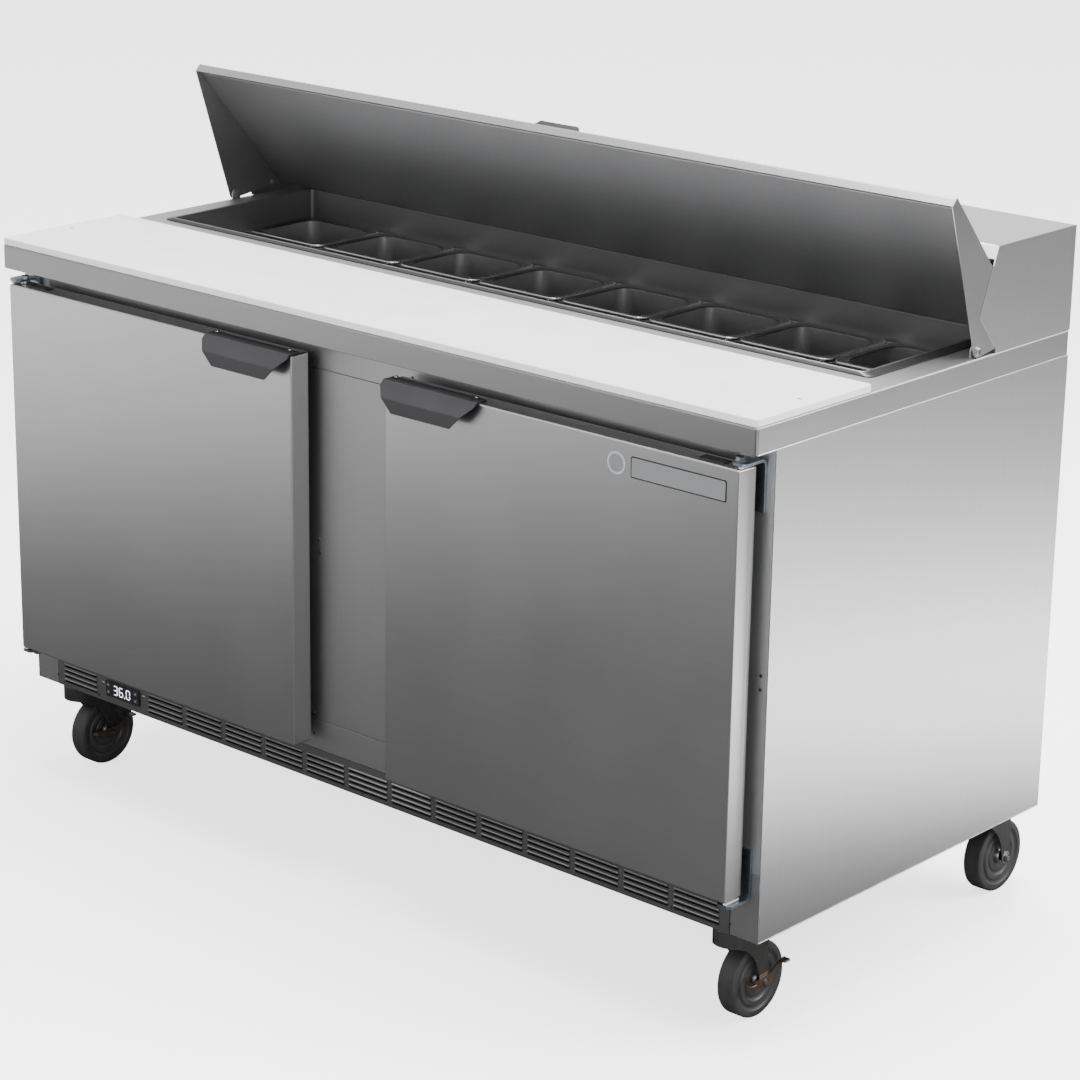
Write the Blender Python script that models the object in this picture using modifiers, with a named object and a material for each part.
"""Sandwich prep table: refrigerated base with doors, pan rail under a tilting hood, and a cutting board.

Lengths are metres. Everything hangs from one empty at the middle of the counter's front top edge.
Local coordinates read as: x across the table, y back from that edge, z up from the counter's surface.
"""
import math

import bmesh
import bpy
from mathutils import Matrix, Vector

# Driving dimensions.
gap = 0.0003
sheet = 0.0015
half_width = 0.762
counter_height = 0.900
counter_depth = 0.734
counter_band = 0.038
body_front = 0.0438
body_bottom = -0.746

board_depth = 0.251
board_thickness = 0.011
board_bevel = 0.0015

# Pan rail.
well_half = 0.700
well_front = 0.312
well_back = 0.630
well_floor = -0.0470
lip_height = 0.006
lip_side = 0.0195
lip_front = 0.0070
lip_inset = 0.006
ledge = 0.009
pan_columns = 8
pan_pitch = 2 * well_half / pan_columns
pan_row_depth = (well_back - well_front) / 2
pan_rim_top = -0.0405
pan_gap = 0.0035
pan_wall = 0.0008
pan_depth = 0.100
pan_rim = 0.0085
pan_rim_drop = 0.0048
pan_draft = 0.005
pan_corner = 0.016

# Hood over the pans, drawn closed and then turned up to its open stop.
lid_pivot = Vector((0.0, 0.501, 0.0093))
lid_open = math.radians(71.0)
lid_half = 0.7590
lid_front_low = (-0.2336, -0.0057)
lid_front_high = (-0.2404, 0.0076)
lid_rear = (0.0330, 0.1166)
lid_foot_radius = 0.0088
liner_drop = 0.0085

# Rear housing.
housing_front = 0.537
housing_top = 0.155
housing_lip = 0.022
housing_nose = (0.500, 0.058)
housing_heel = (0.544, 0.0056)

# Doors and the frame that they close on.
door_inner = 0.0964
door_outer = 0.741
door_front = -0.0068
door_back = 0.0288
door_top = -0.060
door_bottom = -0.6755
hinge_x = 0.726
hinge_y = 0.013
gasket_outer = 0.718
gasket_inner = 0.118
gasket_width = 0.016
gasket_top = -0.068
gasket_bottom = -0.664
opening_inner = 0.137
opening_outer = 0.700
opening_top = -0.087
opening_bottom = -0.645
base_top = -0.6943
grille_half = 0.7115
frame_depth = 0.040

# Cold space and machine space behind the doors.
cold_half = 0.715
cold_back = 0.690
step_y = 0.440
step_z = -0.400
machine_front = 0.4865
machine_top = -0.4415
base_floor = -0.728

# Casters.
caster_x = 0.693
front_swivel = 0.084
rear_swivel = 0.6876
caster_trail = 0.036
wheel_radius = 0.0575
wheel_half_width = 0.0155
fork_top = -0.7465
axle_drop = 0.096
axle_radius = 0.006

# Reach in front of the counter (door pulls) and behind it (rear wheels): they centre the table on the origin.
pull_reach = 0.0305
rear_reach = rear_swivel + caster_trail + wheel_radius
counter_front = (pull_reach - rear_reach) / 2

colours = {
    "steel": ((0.62, 0.63, 0.64), 0.30, 1.0),
    "steel_dark": ((0.32, 0.33, 0.34), 0.38, 1.0),
    "zinc": ((0.42, 0.47, 0.52), 0.35, 1.0),
    "black_metal": ((0.025, 0.025, 0.027), 0.45, 0.3),
    "fork_metal": ((0.06, 0.058, 0.055), 0.28, 0.9),
    "pedal_metal": ((0.22, 0.17, 0.14), 0.32, 1.0),
    "rubber": ((0.02, 0.02, 0.02), 0.75, 0.0),
    "tread": ((0.06, 0.06, 0.06), 0.60, 0.0),
    "board": ((0.86, 0.86, 0.85), 0.45, 0.0),
    "plastic": ((0.01, 0.01, 0.012), 0.30, 0.0),
    "wire": ((0.70, 0.72, 0.74), 0.40, 0.2),
    "copper": ((0.60, 0.33, 0.18), 0.35, 1.0),
}


def clear_scene():
    for item in list(bpy.data.objects):
        bpy.data.objects.remove(item)


def new_collection(name):
    collection = bpy.data.collections.new(name)
    bpy.context.scene.collection.children.link(collection)
    return collection


clear_scene()
parts = new_collection("sandwich_prep_table")
cutters = new_collection("cutters")


def new_material(name):
    colour, roughness, metallic = colours[name]
    material = bpy.data.materials.new(name)
    material.use_nodes = True
    shader = material.node_tree.nodes["Principled BSDF"]
    shader.inputs["Base Color"].default_value = (*colour, 1.0)
    shader.inputs["Roughness"].default_value = roughness
    shader.inputs["Metallic"].default_value = metallic
    material.diffuse_color = (*colour, 1.0)
    return material


materials = {name: new_material(name) for name in colours}


def empty_at(name, location, parent=None):
    empty = bpy.data.objects.new(name, None)
    parts.objects.link(empty)
    empty.parent = parent
    empty.location = location
    return empty


table = empty_at("table_origin", (0.0, counter_front, counter_height))


def place(name, mesh, material, at=(0, 0, 0), parent=None):
    """Link a finished mesh as one sub-part."""
    piece = bpy.data.objects.new(name, mesh)
    parts.objects.link(piece)
    piece.parent = parent or table
    piece.location = at
    mesh.materials.clear()
    mesh.materials.append(materials[material])
    return piece


def tool(mesh, parent=None, at=(0, 0, 0)):
    """Link a mesh as a hidden cutter or joining body."""
    piece = bpy.data.objects.new("tool", mesh)
    cutters.objects.link(piece)
    piece.parent = parent or table
    piece.location = at
    piece.hide_render = True
    piece.display_type = "WIRE"
    return piece


def box_mesh(low, high):
    bm = bmesh.new()
    bmesh.ops.create_cube(bm, size=1.0)
    low, high = Vector(low), Vector(high)
    bmesh.ops.scale(bm, vec=high - low, verts=bm.verts)
    bmesh.ops.translate(bm, vec=(low + high) / 2, verts=bm.verts)
    return finish_mesh(bm, "box")


def boxes_mesh(corner_pairs):
    """Several boxes that don't touch each other, as one cutter."""
    bm = bmesh.new()
    for low, high in corner_pairs:
        low, high = Vector(low), Vector(high)
        made = bmesh.ops.create_cube(bm, size=1.0)["verts"]
        bmesh.ops.scale(bm, vec=high - low, verts=made)
        bmesh.ops.translate(bm, vec=(low + high) / 2, verts=made)
    return finish_mesh(bm, "boxes")


def finish_mesh(bm, name):
    bmesh.ops.recalc_face_normals(bm, faces=bm.faces)
    mesh = bpy.data.meshes.new(name)
    bm.to_mesh(mesh)
    bm.free()
    return mesh


turn_to = {
    "x": Matrix.Rotation(math.radians(90), 4, "Y"),
    "y": Matrix.Rotation(math.radians(-90), 4, "X"),
    "z": Matrix.Identity(4),
}


def rod_mesh(radius, start, end, axis="z", centre=(0, 0, 0), sides=20, end_radius=None):
    """A cylinder or cone along one axis, from start to end measured from centre."""
    bm = bmesh.new()
    bmesh.ops.create_cone(bm, cap_ends=True, segments=sides, radius1=radius,
                          radius2=radius if end_radius is None else end_radius, depth=end - start)
    bmesh.ops.translate(bm, vec=(0, 0, (start + end) / 2), verts=bm.verts)
    bm.transform(Matrix.Translation(centre) @ turn_to[axis])
    mesh = finish_mesh(bm, "rod")
    mesh.shade_smooth()
    mesh.set_sharp_from_angle(angle=math.radians(40))
    return mesh


def outline_mesh(points, thickness, axis="x", start=0.0):
    """A flat outline made from a 2D curve, extruded along an axis from start.

    Points are (y, z) for axis x and (x, y) for axis z.
    """
    curve = bpy.data.curves.new("outline", "CURVE")
    curve.dimensions = "2D"
    curve.fill_mode = "BOTH"
    curve.extrude = thickness / 2
    spline = curve.splines.new("POLY")
    spline.points.add(len(points) - 1)
    for point, (u, v) in zip(spline.points, points):
        point.co = (u, v, 0.0, 1.0)
    spline.use_cyclic_u = True
    shape = bpy.data.objects.new("outline", curve)
    cutters.objects.link(shape)
    bpy.context.view_layer.update()
    mesh = bpy.data.meshes.new_from_object(shape.evaluated_get(bpy.context.evaluated_depsgraph_get()))
    bpy.data.objects.remove(shape)
    bm = bmesh.new()
    bm.from_mesh(mesh)
    bmesh.ops.remove_doubles(bm, verts=bm.verts, dist=0.00001)
    # Curve x, y become y, z for a plate that is thick along x.
    upright = Matrix(((0, 0, 1, 0), (1, 0, 0, 0), (0, 1, 0, 0), (0, 0, 0, 1)))
    if axis == "x":
        bm.transform(upright)
        shift = (start + thickness / 2, 0, 0)
    else:
        shift = (0, 0, start + thickness / 2)
    bmesh.ops.translate(bm, vec=shift, verts=bm.verts)
    return finish_mesh(bm, "plate")


def folded(points, thickness):
    """The outline of a sheet folded along points, with its thickness laid to the left of the line."""
    line = [Vector(p) for p in points]
    normals = []
    for a, b in zip(line, line[1:]):
        along = (b - a).normalized()
        normals.append(Vector((-along.y, along.x)))
    inner = [line[0] + normals[0] * thickness]
    for point, before, after in zip(line[1:-1], normals, normals[1:]):
        mitre = (before + after) / (1 + before.dot(after))
        inner.append(point + mitre * thickness)
    inner.append(line[-1] + normals[-1] * thickness)
    return [tuple(p) for p in line] + [tuple(p) for p in reversed(inner)]


def arc(centre, radius, start, end, steps):
    """Points on an arc, angles in degrees, both ends included."""
    turns = [math.radians(start + (end - start) * i / steps) for i in range(steps + 1)]
    return [(centre[0] + radius * math.cos(t), centre[1] + radius * math.sin(t)) for t in turns]


def combine(piece, mesh, operation, at=(0, 0, 0)):
    """Cut or join a mesh drawn in the piece's own coordinates."""
    other = tool(mesh, piece.parent, piece.location + Vector(at))
    other.rotation_euler = piece.rotation_euler
    modifier = piece.modifiers.new(operation.lower(), "BOOLEAN")
    modifier.operation = operation
    modifier.object = other
    return piece


def cut(piece, *meshes):
    for mesh in meshes:
        combine(piece, mesh, "DIFFERENCE")
    return piece


def join(piece, *meshes):
    for mesh in meshes:
        combine(piece, mesh, "UNION")
    return piece


def bevel(piece, width, segments=1):
    modifier = piece.modifiers.new("bevel", "BEVEL")
    modifier.width = width
    modifier.segments = segments
    modifier.limit_method = "ANGLE"
    return piece


def both_sides(low, high):
    """A box and its mirror image across the table's middle."""
    return [(low, high), ((-high[0], low[1], low[2]), (-low[0], high[1], high[2]))]


def build_carcass():
    """Outer skin, liner and floor in one sheet body, joined by a flange behind the front frame.

    The wall space between skin and liner is open at the top, under the counter.
    """
    front, back, top = body_front, counter_depth, -counter_band - gap
    block = box_mesh((-half_width, front, body_bottom), (half_width, back, top))
    carcass = place("cabinet_carcass", block, "steel")
    skin_half = half_width - sheet
    above = 0.05
    ahead = front - 0.02
    frame_back = front + frame_depth + gap

    # The wall space: everything inside the skin, less the liner grown by its own thickness.
    space = tool(box_mesh((-skin_half, frame_back + sheet, base_floor + sheet),
                          (skin_half, back - sheet, above)))
    keep = cold_half + sheet
    cut(space,
        box_mesh((-keep, ahead, opening_bottom - sheet), (keep, step_y + sheet, above + 0.01)),
        box_mesh((-keep, ahead, step_z - sheet), (keep, cold_back + sheet, above + 0.01)),
        box_mesh((-half_width, machine_front - sheet, machine_top), (half_width, back, machine_top + sheet)))
    combine_object(carcass, space, "DIFFERENCE")

    cut(carcass,
        box_mesh((-cold_half, ahead, opening_bottom), (cold_half, step_y, above)),
        box_mesh((-cold_half, step_y - 0.01, step_z), (cold_half, cold_back, above)),
        box_mesh((-skin_half, ahead, body_bottom - 0.01), (skin_half, back - sheet, base_floor)),
        box_mesh((-skin_half, ahead, body_bottom - 0.01), (skin_half, frame_back, above)),
        box_mesh((-grille_half, frame_back - 0.01, base_floor + sheet),
                 (grille_half, frame_back + 0.01, base_top)))

    # Posts and pegs that carry the shelves.
    for y in shelf_posts:
        join(carcass, box_mesh((-post_half, y - post_half, opening_bottom - sheet / 2),
                               (post_half, y + post_half, shelf_bottom + 0.03)))
        peg_z = (shelf_bottom - 0.006 - gap, shelf_bottom - gap)
        join(carcass, box_mesh((-post_half - peg_length, y - 0.004, peg_z[0]),
                               (post_half + peg_length, y + 0.004, peg_z[1])))
        for side in (-1, 1):
            ends = sorted((side * (cold_half + sheet / 2), side * (cold_half - peg_length)))
            join(carcass, box_mesh((ends[0], y - 0.004, peg_z[0]), (ends[1], y + 0.004, peg_z[1])))
    return carcass


def combine_object(piece, other, operation):
    modifier = piece.modifiers.new(operation.lower(), "BOOLEAN")
    modifier.operation = operation
    modifier.object = other


def build_front_frame():
    """Rails, stiles and the wide centre mullion as one folded frame, open at the back."""
    outer = half_width - sheet - gap
    top = -counter_band - gap
    back = body_front + frame_depth
    frame = place("front_frame", box_mesh((-outer, body_front, body_bottom), (outer, back, top)), "steel")
    openings = both_sides((opening_inner, body_front - 0.01, opening_bottom),
                          (opening_outer, back + 0.01, opening_top))
    cut(frame, boxes_mesh(openings))
    cut(frame, box_mesh((-grille_half - gap, body_front - 0.01, body_bottom - 0.01),
                        (grille_half + gap, back + 0.01, base_top + gap)))
    # The hollow behind the face: bars, each a sheet's thickness inside the outline.
    inside = body_front + sheet
    hollows = [((-outer + sheet, inside, opening_top + sheet), (outer - sheet, back + 0.01, top - sheet))]
    hollows += [((-opening_inner + sheet, inside, opening_bottom - 0.01),
                 (opening_inner - sheet, back + 0.01, opening_top + 0.01))]
    hollows += [((-outer + sheet, inside, base_top + sheet + gap),
                 (outer - sheet, back + 0.01, opening_bottom - sheet))]
    hollows += both_sides((opening_outer + sheet, inside, body_bottom - 0.01),
                          (outer - sheet, back + 0.01, opening_top + 0.01))
    for low, high in hollows:
        cut(frame, box_mesh(low, high))
    return frame


shelf_bottom = -0.420
shelf_thickness = 0.006
shelf_posts = (0.115, 0.405)
post_half = 0.006
peg_length = 0.012
shelf_front = 0.098
shelf_back = 0.430
shelf_slots = 13


def build_shelf(name, side):
    """A wire shelf: long wires across two rims."""
    inner, outer = 0.0095, cold_half - 0.002
    low = (inner, shelf_front, shelf_bottom)
    high = (outer, shelf_back, shelf_bottom + shelf_thickness)
    if side < 0:
        low, high = (-high[0], low[1], low[2]), (-low[0], high[1], high[2])
    shelf = place(name, box_mesh(low, high), "wire")
    wire = 0.006
    pitch = (shelf_back - shelf_front - wire) / shelf_slots
    bays = ((0.008, 0.49), (0.51, 0.992))
    width = high[0] - low[0]
    slots = []
    for n in range(shelf_slots):
        y = shelf_front + wire + n * pitch
        for start, end in bays:
            slots.append(((low[0] + width * start, y, low[2] - 0.01),
                          (low[0] + width * end, y + pitch - wire, high[2] + 0.01)))
    return cut(shelf, boxes_mesh(slots))


def build_countertop():
    """One pressed sheet with a turned-down band on all sides, and an ear for each end of the hood."""
    block = box_mesh((-half_width, 0, -counter_band), (half_width, counter_depth, 0))
    top = place("countertop", block, "steel")
    inside = half_width - sheet
    cut(top, box_mesh((-inside, sheet, -counter_band - 0.01), (inside, counter_depth - sheet, -sheet)))
    side = well_half + sheet + gap
    cut(top, box_mesh((-side, well_front - sheet - gap, -0.02), (side, well_back + sheet + gap, 0.02)))
    for direction in (-1, 1):
        ear = arc((lid_pivot.y, lid_pivot.z), 0.0085, 0, 180, 8)
        ear += [(lid_pivot.y - 0.0085, -sheet / 2), (lid_pivot.y + 0.0085, -sheet / 2)]
        start = direction * ear_middle - ear_thickness / 2
        join(top, outline_mesh(ear, ear_thickness, "x", start))
        centre = (direction * ear_middle, lid_pivot.y, lid_pivot.z)
        cut(top, rod_mesh(pin_radius + gap, -0.01, 0.01, "x", centre))
    return top


ear_middle = 0.7535
ear_thickness = 0.003
pin_radius = 0.004


def build_well():
    """The recessed pan rail: four walls, a sloping raised lip around the top, and a ledge for the rims."""
    outer = well_half + sheet
    front, back = well_front - sheet, well_back + sheet
    well = place("pan_well", box_mesh((-outer, front, well_floor), (outer, back, lip_height)), "steel_dark")

    bm = bmesh.new()
    low = Vector((-well_half - lip_side, well_front - lip_front, gap))
    high = Vector((well_half + lip_side, well_back + lip_front, lip_height))
    made = bmesh.ops.create_cube(bm, size=1.0)["verts"]
    bmesh.ops.scale(bm, vec=high - low, verts=made)
    bmesh.ops.translate(bm, vec=(low + high) / 2, verts=made)
    for vert in made:
        if vert.co.z > lip_height / 2:
            vert.co.x -= math.copysign(lip_side - 0.0015, vert.co.x)
            vert.co.y -= math.copysign(lip_front - 0.0015, vert.co.y - (well_front + well_back) / 2)
    join(well, finish_mesh(bm, "lip"))
    cut(well, box_mesh((-well_half, well_front, well_floor + sheet), (well_half, well_back, 0.05)),
        box_mesh((-well_half + ledge, well_front + ledge, well_floor - 0.01),
                 (well_half - ledge, well_back - ledge, 0.05)))
    return well


def build_dividers():
    """The rail between the two rows of pans and the bars between the columns, welded as one grid."""
    top = well_floor + sheet
    middle = (well_front + well_back) / 2
    rail = 0.005
    reach = well_half - ledge - gap
    spine = box_mesh((-reach, middle - rail, top - 0.012), (reach, middle + rail, top))
    grid = place("pan_divider_grid", spine, "steel_dark")
    front, back = well_front + ledge + gap, well_back - ledge - gap
    bar = 0.004
    for column in range(1, pan_columns):
        x = -well_half + column * pan_pitch
        join(grid, box_mesh((x - bar, front, top - 0.010), (x + bar, back, top)))
    return grid


def rounded_rectangle(half_x, half_y, radius, z, steps=2):
    """One loop of points around a rectangle with round corners."""
    loop = []
    for quarter, (sx, sy) in enumerate(((1, 1), (-1, 1), (-1, -1), (1, -1))):
        centre = (sx * (half_x - radius), sy * (half_y - radius))
        for x, y in arc(centre, radius, 90 * quarter, 90 * quarter + 90, steps):
            loop.append(Vector((x, y, z)))
    return loop


def pan_mesh():
    """A sixth-size pan: flat rim with a turned-down edge, and drafted walls. Origin at the rim's centre."""
    half_x = pan_pitch / 2 - pan_gap / 2
    half_y = pan_row_depth / 2 - pan_gap / 2
    wall_x, wall_y = half_x - pan_rim, half_y - pan_rim
    loops = [
        rounded_rectangle(half_x, half_y, 0.009, -pan_rim_drop),
        rounded_rectangle(half_x, half_y, 0.009, 0),
        rounded_rectangle(wall_x, wall_y, pan_corner, 0),
        rounded_rectangle(wall_x - pan_draft, wall_y - pan_draft, pan_corner, -pan_depth + 0.006),
        rounded_rectangle(wall_x - pan_draft - 0.006, wall_y - pan_draft - 0.006, pan_corner - 0.005,
                          -pan_depth),
    ]
    bm = bmesh.new()
    rings = [[bm.verts.new(co) for co in loop] for loop in loops]
    for upper, lower in zip(rings, rings[1:]):
        for i in range(len(upper)):
            j = (i + 1) % len(upper)
            bm.faces.new((upper[i], upper[j], lower[j], lower[i]))
    bm.faces.new(rings[-1])
    mesh = finish_mesh(bm, "pan")
    mesh.shade_smooth()
    mesh.set_sharp_from_angle(angle=math.radians(50))
    return mesh


def build_pans():
    """Two rows of pans, each resting on the ledge and the divider grid by its turned-down rim."""
    mesh = pan_mesh()
    for row, row_name in enumerate(("front", "rear")):
        y = well_front + pan_row_depth * (row + 0.5)
        for column in range(pan_columns):
            x = -well_half + pan_pitch * (column + 0.5)
            pan = place(f"pan_{row_name}_{column + 1}", mesh.copy(), "steel_dark", (x, y, pan_rim_top))
            shell = pan.modifiers.new("thickness", "SOLIDIFY")
            shell.thickness = pan_wall
            shell.offset = -1.0


def build_board():
    block = box_mesh((-half_width, -board_depth / 2, 0), (half_width, board_depth / 2, board_thickness))
    board = place("cutting_board", block, "board", (0, board_depth / 2, gap))
    return bevel(board, board_bevel)


def build_housing():
    """The box behind the pans: top with a turned-down lip, back, and swept side cheeks; open at the front."""
    line = [(counter_depth, gap), (counter_depth, housing_top), (housing_front, housing_top),
            (housing_front, housing_top - housing_lip)]
    shell = outline_mesh(folded(line, sheet), 2 * half_width, "x", -half_width)
    housing = place("rear_housing", shell, "steel")
    cheek = [(counter_depth, gap), (counter_depth, housing_top), (housing_front, housing_top), housing_nose,
             housing_heel, (housing_heel[0], gap)]
    for start in (-half_width, half_width - sheet):
        join(housing, outline_mesh(cheek, sheet, "x", start))
    return housing


def build_lid():
    """The tilting hood: an outer sheet with end caps and pivot studs, an inner liner, and a pull."""
    axis = empty_at("lid_axis", lid_pivot, table)
    axis.rotation_euler.x = -lid_open

    sheet_line = [lid_front_low, lid_front_high, lid_rear]
    outer = [tuple(p) for p in folded(list(reversed(sheet_line)), sheet)]
    shell = place("lid_shell", outline_mesh(outer, 2 * lid_half, "x", -lid_half), "steel", parent=axis)
    foot = arc((0, 0), lid_foot_radius, 270, 350, 6)
    cap = [lid_rear, lid_front_high, lid_front_low] + foot
    for start in (-lid_half, lid_half - sheet):
        join(shell, outline_mesh(cap, sheet, "x", start))
    for direction in (-1, 1):
        ends = sorted((direction * (ear_middle - 0.003), direction * (lid_half - sheet / 2)))
        join(shell, rod_mesh(pin_radius, ends[0], ends[1], "x"))
        head = sorted((direction * (lid_half - sheet / 2), direction * (half_width + 0.0015)))
        join(shell, rod_mesh(0.0058, head[0], head[1], "x"))

    slope = (Vector(lid_rear) - Vector(lid_front_high)).normalized()
    down = Vector((slope.y, -slope.x))
    start = Vector(lid_front_high) + slope * 0.012 + down * (sheet + gap)
    end = Vector(lid_rear) - slope * 0.002 + down * (sheet + gap)
    tray = [start, start + down * liner_drop, end + down * liner_drop, end]
    half = lid_half - sheet - gap
    place("lid_liner", outline_mesh(folded(tray, sheet), 2 * half, "x", -half), "steel_dark", parent=axis)

    # The pull: a foot on the hood's top face near the front edge, and a blade standing off it.
    up = -down
    foot_start = Vector(lid_front_high) + slope * 0.012 + up * gap
    heel = Vector(lid_front_high) + slope * 0.034 + up * gap
    blade_top = heel + up * 0.0285
    pull_line = [foot_start, heel, blade_top]
    width = 0.096
    blade = outline_mesh(folded(pull_line, pull_metal), width, "x", -width / 2)
    pull = place("lid_handle", blade, "black_metal", parent=axis)
    low, high = blade_top.y - 0.011, blade_top.y + 0.03
    near, far = blade_top.x - 0.02, blade_top.x + 0.02
    for direction in (-1, 1):
        corner = outline_mesh([(near, low), (far, low), (far, high), (near, high)], 0.04, "x", 0)
        shear = Matrix.Identity(4)
        shear[0][2] = -direction * 0.9
        corner.transform(shear)
        offset = direction * (width / 2 - 0.001) + direction * 0.9 * low
        corner.transform(Matrix.Translation((offset if direction > 0 else offset - 0.04, 0, 0)))
        cut(pull, corner)
    return axis


pull_width = 0.181
pull_metal = 0.0025
pull_line = [(0.0110, -0.0573), (-0.0105, -0.0573), (-pull_reach, -0.0785), (-pull_reach, -0.0985)]
pull_chamfer = 0.034


def build_door(side, name):
    """A hollow insulated door with its gasket and folded pull; the hollow opens under the gasket."""
    def span(near, far):
        return sorted((side * near, side * far))

    axis = empty_at(f"{name}_door_axis", (side * hinge_x, hinge_y, 0), table)
    shift = -Vector(axis.location)

    def door_box(xs, ys, zs):
        return box_mesh(Vector((xs[0], ys[0], zs[0])) + shift, Vector((xs[1], ys[1], zs[1])) + shift)

    block = door_box(span(door_inner, door_outer), (door_front, door_back), (door_bottom, door_top))
    door = place(f"{name}_door", block, "steel", parent=axis)
    bevel(door, 0.0012)
    cut(door, door_box(span(door_inner + sheet, door_outer - 0.034), (door_front + sheet, door_back - sheet),
                       (door_bottom + sheet, door_top - sheet)))
    vent = span(gasket_inner + 0.004, gasket_inner + gasket_width - 0.004)
    cut(door, door_box(vent, (door_back - 0.01, door_back + 0.01), (door_bottom + 0.15, door_top - 0.15)))
    reach = hinge_pin_depth + 0.002
    for z in (door_bottom, door_top):
        cut(door, rod_mesh(hinge_pin + gap, -reach, reach, "z", (0, 0, z), 16))

    seal_y = (door_back + gap, body_front - gap)
    block = door_box(span(gasket_inner, gasket_outer), seal_y, (gasket_bottom, gasket_top))
    seal = place(f"{name}_door_gasket", block, "rubber", parent=axis)
    cut(seal, door_box(span(gasket_inner + gasket_width, gasket_outer - gasket_width),
                       (seal_y[0] - 0.01, seal_y[1] + 0.01),
                       (gasket_bottom + gasket_width, gasket_top - gasket_width)))

    line = [(y + shift.y, z) for y, z in pull_line]
    left = min(side * (door_inner + 0.0002), side * (door_inner + 0.0002 + pull_width)) + shift.x
    bracket = outline_mesh(folded(line, pull_metal), pull_width, "x", left)
    pull = place(f"{name}_door_handle", bracket, "black_metal", parent=axis)
    low = pull_line[-1][1]
    for corner_x in (left, left + pull_width):
        wedge = rod_mesh(pull_chamfer, -0.03, 0.03, "y", (corner_x, pull_line[-1][0] + shift.y, low), 4)
        cut(pull, wedge)
    return axis


hinge_pin = 0.004
hinge_pin_depth = 0.012
leg_inner = 0.722
leg_outer = 0.747
bracket_metal = 0.004


def build_hinge(name, side, top):
    """A bent zinc bracket: a leg on the frame, an arm over or under the door, and the pin it turns on."""
    leg_face = body_front - gap
    up = 1 if top else -1
    door_edge = door_top if top else door_bottom
    arm = door_edge + up * 0.0042
    leg_end = arm - up * 0.071
    bend = 0.007
    centre = (leg_face - bend - bracket_metal, arm - up * (bend - bracket_metal))
    outer_bend = arc(centre, bend + bracket_metal, 0, up * 90, 5)
    inner_bend = arc(centre, bend, up * 90, 0, 5)
    tip = -0.004
    outline = [(leg_face, leg_end)] + outer_bend + [(tip, arm + up * bracket_metal), (tip, arm)]
    outline += inner_bend + [(leg_face - bracket_metal, leg_end)]
    left = min(side * leg_inner, side * leg_outer)
    bracket = place(name, outline_mesh(outline, leg_outer - leg_inner, "x", left), "zinc")
    pin_x = side * hinge_x

    def upright(radius, start, end, sides=16):
        low, high = sorted((start, end))
        return rod_mesh(radius, low, high, "z", (pin_x, hinge_y, 0), sides)

    join(bracket,
         upright(hinge_pin, arm + up * bracket_metal / 2, door_edge - up * hinge_pin_depth),
         upright(0.0085, arm + up * bracket_metal / 2, door_edge + up * 2 * gap),
         upright(0.0065, arm + up * bracket_metal / 2, arm + up * 0.009, 6))
    return bracket


louver_pitch = 0.0917
louver_width = 0.081
louver_start = -0.488
louver_groups = 13
louver_left = -0.695
louver_rows = 4
louver_top = -0.7085
louver_row_pitch = 0.0088
louver_height = 0.0036
display_left = -0.590
display_right = -0.509
display_top = -0.706
display_bottom = -0.734


def build_grille():
    """The louvred sheet under the doors, with a cut-out for the thermostat."""
    plate = box_mesh((-grille_half, body_front, body_bottom), (grille_half, body_front + sheet, base_top))
    grille = place("base_grille", plate, "steel")
    lefts = [louver_left] + [louver_start + n * louver_pitch for n in range(louver_groups)]
    slots = []
    for left in lefts:
        for row in range(louver_rows):
            high = louver_top - row * louver_row_pitch
            slots.append(((left, body_front - 0.01, high - louver_height),
                          (left + louver_width, body_front + 0.01, high)))
    body = 0.004 - gap
    slots.append(((display_left + body, body_front - 0.01, display_bottom + 0.002 - gap),
                  (display_right - body, body_front + 0.01, display_top - 0.002 + gap)))
    return cut(grille, boxes_mesh(slots))


button_width = 0.0085
button_height = 0.0065
button_travel = 0.0006
button_inset = 0.0075
button_high = -0.7135
button_low = -0.7260
button_places = (("button_set", display_left + button_inset, button_high),
                 ("button_light", display_left + button_inset, button_low),
                 ("button_up", display_right - button_inset, button_high),
                 ("button_down", display_right - button_inset, button_low))


def build_controller():
    """The thermostat: a bezel in front of the grille, its case behind, and four keys in pockets."""
    face = body_front - 0.0030
    bezel = box_mesh((display_left, face, display_bottom), (display_right, body_front - gap, display_top))
    case = place("controller", bezel, "plastic")
    bevel(case, 0.0008)
    join(case, box_mesh((display_left + 0.004, face + 0.002, display_bottom + 0.002),
                        (display_right - 0.004, body_front + 0.038, display_top - 0.002)))
    half = (button_width / 2, button_height / 2)
    for name, x, z in button_places:
        low = (x - half[0] - gap, face - 0.01, z - half[1] - gap)
        high = (x + half[0] + gap, face + 0.0030, z + half[1] + gap)
        cut(case, box_mesh(low, high))
        place(name, box_mesh((-half[0], 0, -half[1]), (half[0], 0.0026 - button_travel, half[1])), "plastic",
              (x, face - 0.0004, z))
    return case


fan_radius = 0.095
fan_hub = 0.024
fan_blades = 5


def blade_mesh(angle):
    """One flat pitched blade, rooted in the hub and turned to its place around y."""
    mesh = box_mesh((fan_hub * 0.6, -0.0008, -0.016), (fan_radius, 0.0008, 0.016))
    mesh.transform(Matrix.Rotation(math.radians(28), 4, "X"))
    mesh.transform(Matrix.Translation((0, fan_hub / 2, 0)))
    mesh.transform(Matrix.Rotation(angle, 4, "Y"))
    return mesh


evaporator_half = 0.110
evaporator_front = 0.560
evaporator_low = -0.395
evaporator_high = -0.200
evaporator_inlet = 0.072


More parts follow.
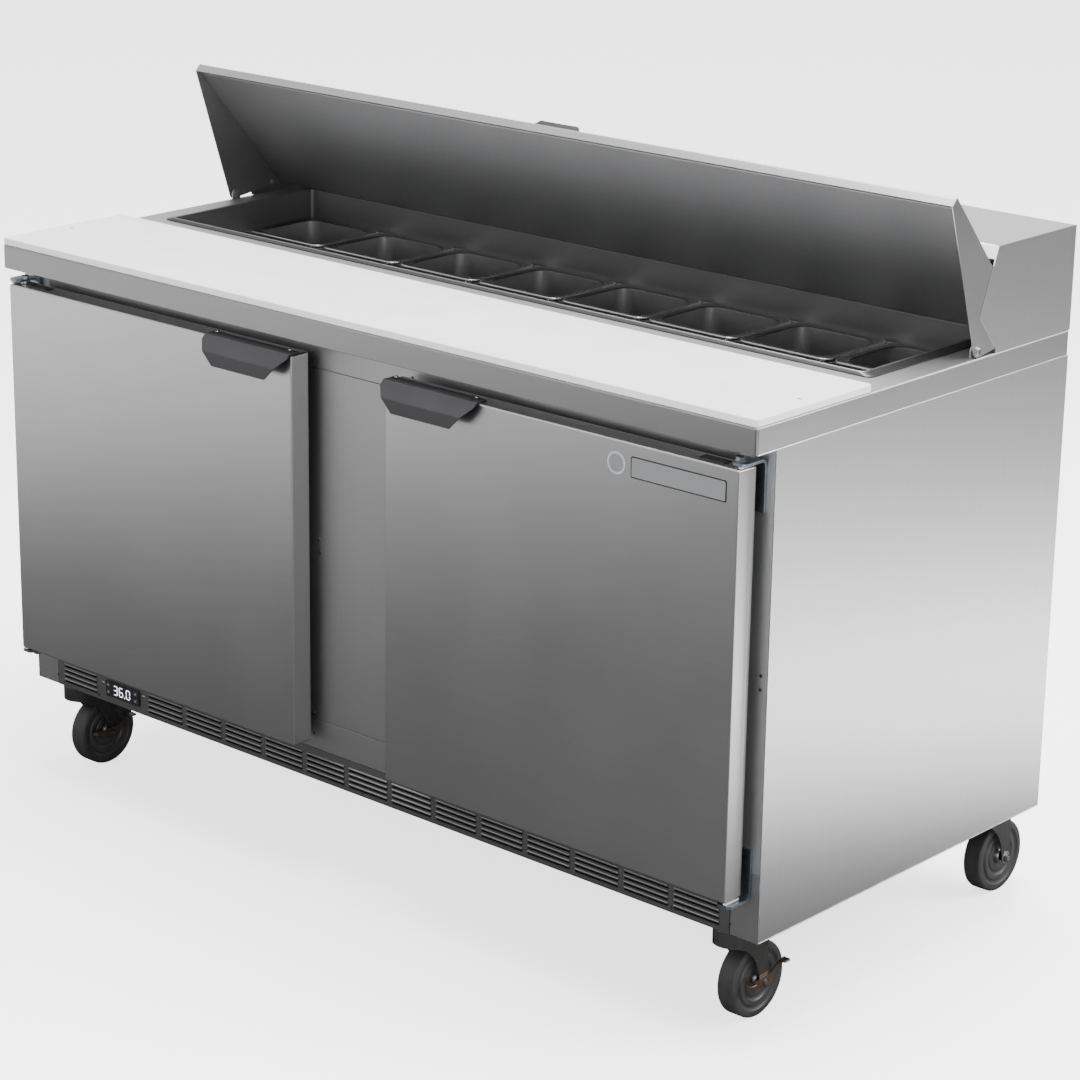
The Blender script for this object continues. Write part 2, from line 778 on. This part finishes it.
def build_evaporator():
    """The cooling coil's case on the back wall, with a round inlet at the front and an outlet slot below."""
    case = place("evaporator_case", box_mesh((-evaporator_half, evaporator_front, evaporator_low),
                                             (evaporator_half, cold_back - gap, evaporator_high)), "steel")
    cut(case, box_mesh((-evaporator_half + sheet, evaporator_front + sheet, evaporator_low + sheet),
                       (evaporator_half - sheet, cold_back - gap - sheet, evaporator_high - sheet)))
    middle = (evaporator_low + evaporator_high) / 2
    cut(case, rod_mesh(evaporator_inlet, -0.01, 0.01, "y", (0, evaporator_front, middle), 32))
    cut(case, boxes_mesh(both_sides((evaporator_half - 0.01, evaporator_front + 0.03, evaporator_low + 0.02),
                                    (evaporator_half + 0.01, cold_back - 0.03, evaporator_high - 0.02))))
    return case


compressor_place = (0.330, 0.610)
compressor_radius = 0.080
condenser_left = -0.470
condenser_right = -0.190
condenser_front = 0.515
condenser_back = 0.560
condenser_low = -0.715
condenser_high = -0.495


def build_condensing_unit():
    """Compressor can on its base plate, finned condenser, and the fan behind it."""
    floor = base_floor + sheet + gap
    x, y = compressor_place
    can = rod_mesh(compressor_radius, 0.012, 0.150, "z", (x, y, floor), 28)
    compressor = place("compressor", can, "black_metal")
    join(compressor,
         rod_mesh(compressor_radius, 0.1499, 0.185, "z", (x, y, floor), 28, 0.050),
         box_mesh((x - 0.110, y - 0.100, floor), (x + 0.110, y + 0.100, floor + 0.0125)))
    condenser = place("condenser", box_mesh((condenser_left, condenser_front, condenser_low),
                                            (condenser_right, condenser_back, condenser_high)), "copper")
    fins = 14
    pitch = (condenser_right - condenser_left - 0.004) / fins
    slots = []
    for n in range(fins):
        x = condenser_left + 0.004 + n * pitch
        slots.append(((x, condenser_front - 0.01, condenser_low + 0.006),
                      (x + pitch - 0.004, condenser_back + 0.01, condenser_high - 0.006)))
    cut(condenser, boxes_mesh(slots))
    middle = ((condenser_left + condenser_right) / 2, condenser_back + 0.014,
              (condenser_low + condenser_high) / 2)
    fan = place("condenser_fan", rod_mesh(fan_hub, 0, fan_hub, "y", sides=20), "black_metal", middle)
    join(fan, *[blade_mesh(math.tau * n / fan_blades) for n in range(fan_blades)])


race_radius = 0.026
rail_half = 0.048


def build_rail(name, side):
    """A chassis rail with the swivel race and kingpin of its two casters."""
    top = base_floor - gap
    middle = side * caster_x
    bar = box_mesh((middle - rail_half, 0.050, top - 0.004), (middle + rail_half, 0.7315, top))
    rail = place(name, bar, "zinc")
    for y in (front_swivel, rear_swivel):
        join(rail, rod_mesh(race_radius, fork_top + gap, top - 0.002, "z", (middle, y, 0), 24))
        join(rail, rod_mesh(0.007, fork_top - 0.012, top - 0.002, "z", (middle, y, 0), 16))
        join(rail, rod_mesh(0.012, fork_top - 0.013, fork_top - 0.0045, "z", (middle, y, 0), 6))
    return rail


nose_y = -0.014
fork_half = 0.0245
fork_metal = 0.0028
crown_metal = 0.004
heel_y = 0.045


def fork_side():
    """The fork seen from the side: a nose at the front, legs swept back to the axle."""
    axle = (caster_trail, -axle_drop)
    nose = nose_y - fork_half
    sweep = arc((nose - 0.004, -axle_drop + 0.002), 0.0683, 86, 17, 6)
    return [(heel_y - 0.010, 0), (nose, 0)] + sweep + arc(axle, 0.009, 215, 360, 6) + [(heel_y, -0.014)]


def plan_outline(half, back):
    """A nose rounded about nose_y, with straight sides running back."""
    return arc((0, nose_y), half, 180, 360, 10) + [(half, back), (-half, back)]


def build_caster(name, side, swivel_y, braked):
    """Fork with its axle, wheel, and on a braked caster a rocking pedal."""
    swivel = empty_at(f"{name}_swivel", (side * caster_x, swivel_y, fork_top), table)
    block = outline_mesh(fork_side(), 2 * fork_half, "x", -fork_half)
    fork = place(f"{name}_fork", block, "fork_metal", parent=swivel)
    combine(fork, outline_mesh(plan_outline(fork_half, 0.06), 0.2, "z", -0.15), "INTERSECT")
    cut(fork, outline_mesh(plan_outline(fork_half - fork_metal, 0.08), 0.2, "z", -0.2 - crown_metal),
        rod_mesh(0.0073, -0.02, 0.02, "z", sides=16))
    join(fork, rod_mesh(axle_radius, -0.030, 0.030, "x", (0, caster_trail, -axle_drop), 14))
    for start, end in ((-0.0305, -fork_half + 0.001), (0.0285, 0.0335)):
        join(fork, rod_mesh(0.0085, start, end, "x", (0, caster_trail, -axle_drop), 6))

    wheel = place(f"{name}_wheel", wheel_profile(), "tread", (0, caster_trail, -axle_drop), swivel)
    wheel.rotation_euler.y = math.radians(90)
    turn = wheel.modifiers.new("turn", "SCREW")
    turn.steps = 24
    turn.render_steps = 24
    turn.use_merge_vertices = True
    turn.merge_threshold = 0.0001

    if braked:
        place_pedal(name, swivel)
    return swivel


def wheel_profile():
    """The wheel's half section, drawn beside its axle: crowned tread, rim ridge, dished web, hub."""
    r, w = wheel_radius, wheel_half_width
    side = [(r - 0.0045, w), (0.047, w), (0.044, w - 0.003), (0.033, w - 0.003), (0.031, w - 0.0005),
            (0.024, w - 0.0005), (0.021, w - 0.004), (0.011, w + 0.003), (0.0064, w + 0.003)]
    half = [(r, w - 0.0045)] + side
    loop = half + [(x, -z) for x, z in reversed(half)]
    bm = bmesh.new()
    verts = [bm.verts.new((x, 0, z)) for x, z in loop]
    for a, b in zip(verts, verts[1:] + verts[:1]):
        bm.edges.new((b, a))
    mesh = bpy.data.meshes.new("wheel")
    bm.to_mesh(mesh)
    bm.free()
    return mesh


def place_pedal(name, swivel):
    """A rocker on the axle's outer end, with a foot tab low at the front and another higher at the back."""
    pedal = place(f"{name}_brake_pedal", rod_mesh(0.0105, 0.0250, 0.0278, "x", sides=20), "pedal_metal",
                  (0, caster_trail, -axle_drop), swivel)
    lower_edge = [(-0.044, 0.0085), (-0.030, 0.002), (-0.008, -0.0085), (0.008, -0.0070), (0.026, 0.010),
                  (0.044, 0.0215)]
    upper_edge = [(0.044, 0.0250), (0.024, 0.0180), (0.006, 0.0085), (-0.008, 0.0070), (-0.028, 0.0085),
                  (-0.044, 0.0115)]
    join(pedal, outline_mesh(lower_edge + upper_edge, 0.0028, "x", 0.0250),
         box_mesh((0.0255, -0.0445, 0.0080), (0.044, -0.0290, 0.0108)),
         box_mesh((0.0255, 0.0290, 0.0215), (0.044, 0.0460, 0.0243)))
    cut(pedal, rod_mesh(axle_radius + gap, 0.01, 0.05, "x", sides=20))
    return pedal


build_carcass()
build_front_frame()
build_shelf("shelf_left", -1)
build_shelf("shelf_right", 1)
build_countertop()
build_well()
build_dividers()
build_pans()
build_board()
build_housing()
build_lid()
build_door(-1, "left")
build_door(1, "right")
for side_name, side in (("left", -1), ("right", 1)):
    build_hinge(f"hinge_top_{side_name}", side, True)
    build_hinge(f"hinge_bottom_{side_name}", side, False)
    build_rail(f"caster_rail_{side_name}", side)
    build_caster(f"caster_front_{side_name}", side, front_swivel, True)
    build_caster(f"caster_rear_{side_name}", side, rear_swivel, False)
build_grille()
build_controller()
build_evaporator()
build_condensing_unit()
bpy.context.view_layer.update()
